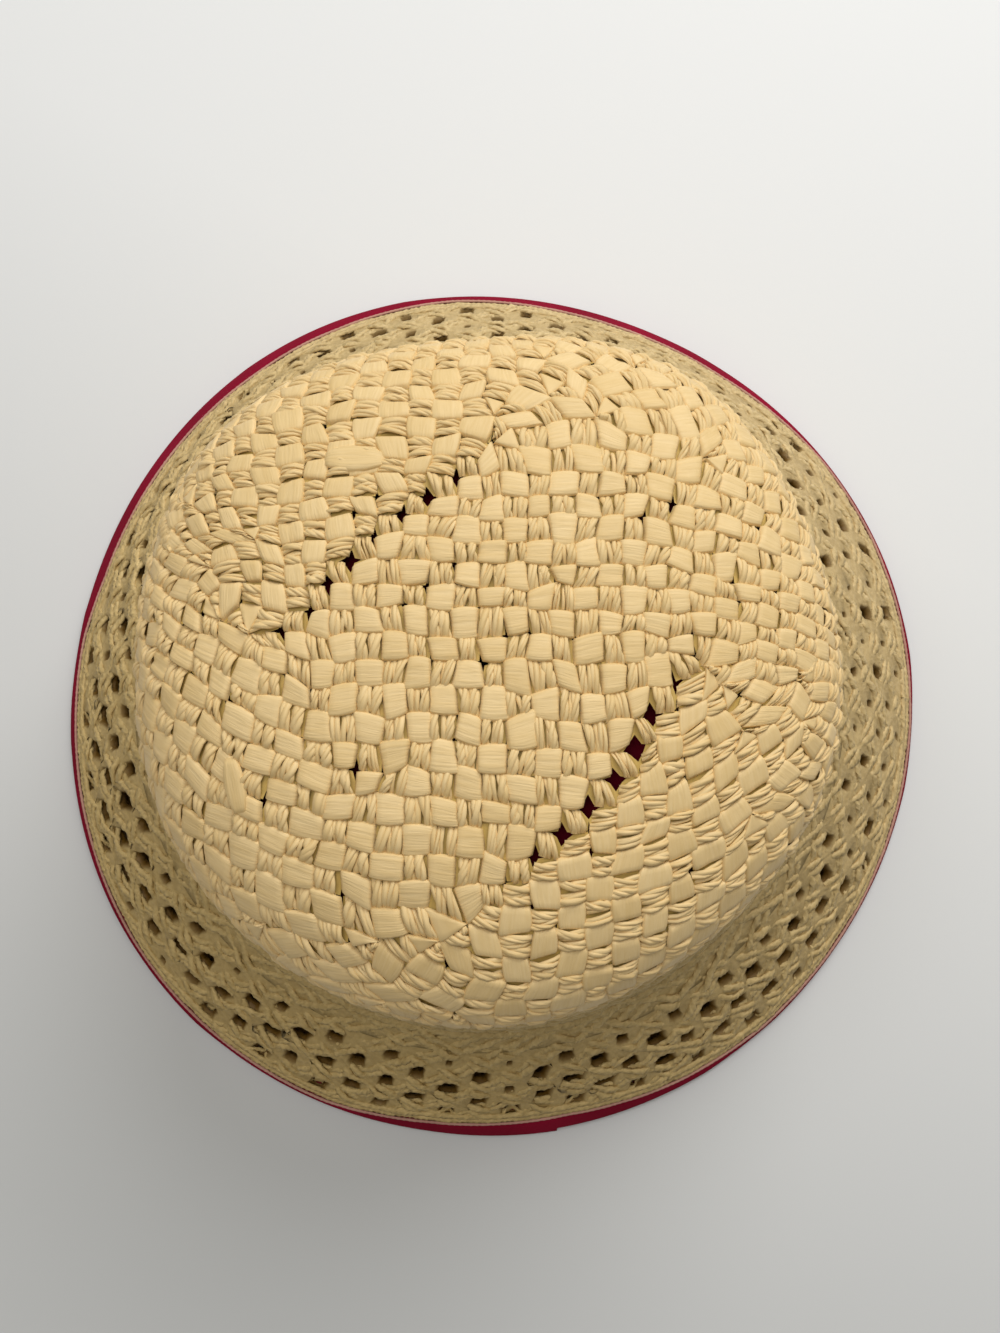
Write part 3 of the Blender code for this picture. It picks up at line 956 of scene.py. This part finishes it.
def buildMat(name):
    form = matForm
    points = []
    for row, wide, high in zip(form["rows"], form["wide"], form["high"]):
        edgeU, edgeV = diamondEdge(row)
        radius = np.interp(row, lace["rows"], lace["rowRadius"])
        for column in range(lace["bands"]):
            stagger = bandStep / 2 * ((row + 1) % 2)
            middleAngle = np.radians(lace["firstHole"] + bandStep * column + stagger)
            u, v = gapShape(row, middleAngle, wide, high)
            for grow, lift, _ in form["rings"]:
                if grow is None:
                    angle = middleAngle + edgeU * math.radians(bandStep / 2)
                    at = rowLength(row + edgeV, angle)
                else:
                    angle = middleAngle + u * grow / radius
                    at = rowLength(float(row), angle) + v * grow
                at = np.minimum(at, strawEnd(angle) - form["endBack"])
                points.append(matPoints(at, angle, lift))
    rings, ring, sections = len(form["rings"]), form["ring"], form["bandSections"]
    count = len(points) // rings
    points = np.vstack(points)
    faces = patchFaces(count, rings, ring, closed=True)
    # painted shade: share of the dark colour, from the rings table
    dark = np.tile(np.repeat([share for _, _, share in form["rings"]], ring), count)
    angle = fullTurn(sections)
    bands = ((form["innerFrom"], rowLength(form["innerTo"], angle)),
             (rowLength(form["outerFrom"], angle), strawEnd(angle) - form["endBack"]))
    back, front = None, form["bandLift"]
    rows = ((0, back), (0, front), (0.33, front), (0.66, front),
            (1, front), (1, back), (0.5, back), (0, back))
    strips = patchFaces(len(bands), len(rows), sections, closed=True) + len(points)
    points = np.vstack([points] + [matPoints(start + (end - start) * share, angle, lift)
                                   for start, end in bands for share, lift in rows])
    deep = np.append(dark, np.zeros(len(points) - len(dark)))
    uv = np.stack([np.degrees(polar(points)[1]) * form["uvRound"], points[:, 2]], -1)
    run = form["shadeRun"]
    shade = np.repeat(rng.random(len(points) // run + 1), run)[:len(points)]
    piece = addPiece(name, points, np.vstack([faces, strips]), uv, shade, shadedStrawMat, deep)
    return piece


print("brim")
buildLace(1, "upper", "brim_upper_cords")
buildLace(-1, "lower", "brim_lower_cords")
mat = buildMat("brim_mat")
rounds = buildRounds("brim_round_cords", roundCords["fromEdge"], roundCords["fromFoot"], shadedStrawLace)
piping = buildRounds("edge_piping", roundCords["piping"], (), pipingAndHighlightPink)
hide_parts("brim")

# edge tape, folded round the straw's edge and down to the ground
tape = {
    "sections": 360, "pucker": 0.10, "puckerEvery": 6, "noseShare": 0.6,
    # the tape's end laps over its start as a step that fades out
    "endDegrees": 279, "endRun": 17, "endStep": 1.5, "endGap": 0.04,
    # its section: under the straw and round its edge, as distances past it and lifts, the
    # part that shows, as shares of its width, the nose, and back underneath
    "inside": ((-3.6, -2.3), (-0.5, -2.3), (0.1, -1.6), (0.15, -0.55), (0.5, -0.2)),
    "outside": (0.35, 0.65, 0.9), "outsideLift": -0.15,
    "noseLift": -0.3, "noseZ": 0.5, "footShadeShare": 0.998,
    "back": ((-0.5, -3.3), (-3.6, -3.3)),
}


def tapeNose(angle):
    before = (tape["endDegrees"] - np.degrees(angle)) % 360
    return np.where(before < tape["endRun"], tape["endStep"] * (1 - before / tape["endRun"]), 0)


def ground(points, lowest=0.0):
    points[:, 2] = np.maximum(points[:, 2], lowest)
    return points


def buildTape():
    step = math.radians(tape["endDegrees"] + tape["endGap"])
    angle = np.sort(np.append(fullTurn(tape["sections"]), step))
    marks = np.arange(0, 361, tape["puckerEvery"])
    pucker = np.append(vary(tape["pucker"], len(marks) - 1), 0)
    pucker = np.interp(np.degrees(angle), marks, pucker)
    end = strawEnd(angle)
    nose = bellEnd + tapeNose(angle) + pucker * tape["noseShare"]
    rings = [ground(onBrim(end + past, angle, lift)) for past, lift in tape["inside"]]
    for share in tape["outside"]:
        at = end + (nose - end) * share
        rings.append(ground(onBrim(at, angle, tape["outsideLift"] + pucker)))
    tip = onBrim(nose, angle, tape["noseLift"])
    rings.append(ground(tip.copy(), tape["noseZ"]))
    rings.append(tip * np.array([tape["footShadeShare"], tape["footShadeShare"], 0]))
    rings += [ground(onBrim(end + past, angle, lift)) for past, lift in tape["back"]]
    rows, columns = len(rings), len(angle)
    order = patchFaces(1, rows, columns, closed=True)[:, ::-1]
    j, last = np.arange(columns), (rows - 1) * columns
    k = (j + 1) % columns
    close = np.stack([k, last + k, last + j, j], -1)
    piece = addPiece("edge_tape", rings, np.vstack([order, close]), material=tapeRed)
    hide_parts("edge_binding")
    return piece


# lining, stretched over the inside of the crown with a few shallow folds
lining = {
    "gap": 3.1, "slack": 3.0, "rings": 60, "columns": 144, "firstRing": 0.02,
    "folds": 9, "foldHigh": 0.5, "foldSway": 3, "foldSwayOver": 20,
}


def buildLining():
    at = np.linspace(lining["firstRing"], 1, lining["rings"]) * baseAt
    at, angle = grid(at, fullTurn(lining["columns"]))
    share = at / baseAt
    inside = lining["gap"] + lining["slack"] * (1 - share ** 2)
    sway = lining["foldSway"] * np.sin(at / lining["foldSwayOver"])
    folds = lining["foldHigh"] * np.sin(angle * lining["folds"] + sway) * share * (1 - share) * 2
    points = onCrown(at, angle, -(inside + folds))
    faces = patchFaces(1, *at.shape, closed=True)[:, ::-1]
    piece = addPiece("crown_lining_cloth", points, faces, material=liningRed)
    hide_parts("crown_lining")
    return piece


print("tape and lining")
edgeTape = buildTape()
liningPiece = buildLining()

# floor, light and camera, in metres
room = {
    # painted shade: the floor is painted darker towards the near left, away from the window lamp
    "floorSize": 6, "floorNear": (0.58, 0.585, 0.58, 1), "floorFar": (0.765, 0.77, 0.77, 1),
    "paintedFalloffX": 0.55, "paintedFalloffRange": (-0.22, 0.12), "roughness": 0.7, "specular": 0.2,
    # painted shade: the floor under the hat is painted dark brown, standing in for its shade and
    # the light that comes in through the straw; between the squares of two radii it turns pale
    "floorShadeUnderHat": (0.30, 0.15, 0.03, 1), "shadeUnderHatRange": (0.0146, 0.0136),
    "air": (1.0, 0.985, 0.92, 1), "airStrength": 0.22,
}
# place, size, power and colour
lights = {
    "window": ((0.35, 0.75, 0.75), 0.8, 8.1, (1.0, 0.995, 0.98)),
    "ceiling": ((-0.32, 0.28, 1.6), 1.4, 10.8, (1.0, 0.99, 0.97)),
}
camera = {
    "place": (0.00244, -0.03855, 0.39702), "aim": (0.00244, 0.0102, 0.0),
    "sensor": 36, "focalPixels": 1309, "imageHigh": 1333, "clipStart": 0.01,
}


def aimed(place, aim):
    return (Vector(aim) - Vector(place)).to_track_quat("-Z", "Y").to_euler()


def buildFloor():
    bpy.ops.mesh.primitive_plane_add(size=room["floorSize"], location=(0, 0, 0))
    floor = bpy.context.object
    floor.name = "floor"
    f = Finish("floor_paper")
    x, y, _ = f.split(f.objectPlace())
    paintedFalloff = f.ramp(x * room["paintedFalloffX"] + y, *room["paintedFalloffRange"])
    colour = f.mix(paintedFalloff, room["floorNear"], room["floorFar"])
    paintedShadeUnderHat = f.ramp(x * x + y * y, *room["shadeUnderHatRange"])
    colour = f.mix(paintedShadeUnderHat, colour, room["floorShadeUnderHat"])
    floor.data.materials.append(f.set(Base_Color=colour, Roughness=room["roughness"],
                                      Specular_IOR_Level=room["specular"]))
    floor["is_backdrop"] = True


def addLight(name, place, size, power, colour):
    data = bpy.data.lights.new(name, "AREA")
    data.shape = "DISK"
    data.size = size
    data.energy = power
    data.color = colour
    lamp = bpy.data.objects.new(name, data)
    lamp.location = place
    lamp.rotation_euler = aimed(place, (0, 0, 0))
    bpy.context.collection.objects.link(lamp)
    lamp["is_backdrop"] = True


print("stage")
bpy.context.scene.view_settings.view_transform = "Standard"
buildFloor()

world = bpy.data.worlds.new("room")
bpy.context.scene.world = world
world.use_nodes = True
background = world.node_tree.nodes["Background"]
background.inputs["Color"].default_value = room["air"]
background.inputs["Strength"].default_value = room["airStrength"]
for name, settings in lights.items():
    addLight(name, *settings)

cam = bpy.data.objects.new("camera", bpy.data.cameras.new("camera"))
bpy.context.collection.objects.link(cam)
cam.data.sensor_width = camera["sensor"]
cam.data.lens = camera["sensor"] * camera["focalPixels"] / camera["imageHigh"]
cam.data.clip_start = camera["clipStart"]
cam.location = camera["place"]
cam.rotation_euler = aimed(camera["place"], camera["aim"])
bpy.context.scene.camera = cam

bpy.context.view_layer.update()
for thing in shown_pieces():
    if thing.type == "MESH":
        print(thing.name, sum(len(polygon.vertices) - 2 for polygon in thing.data.polygons))
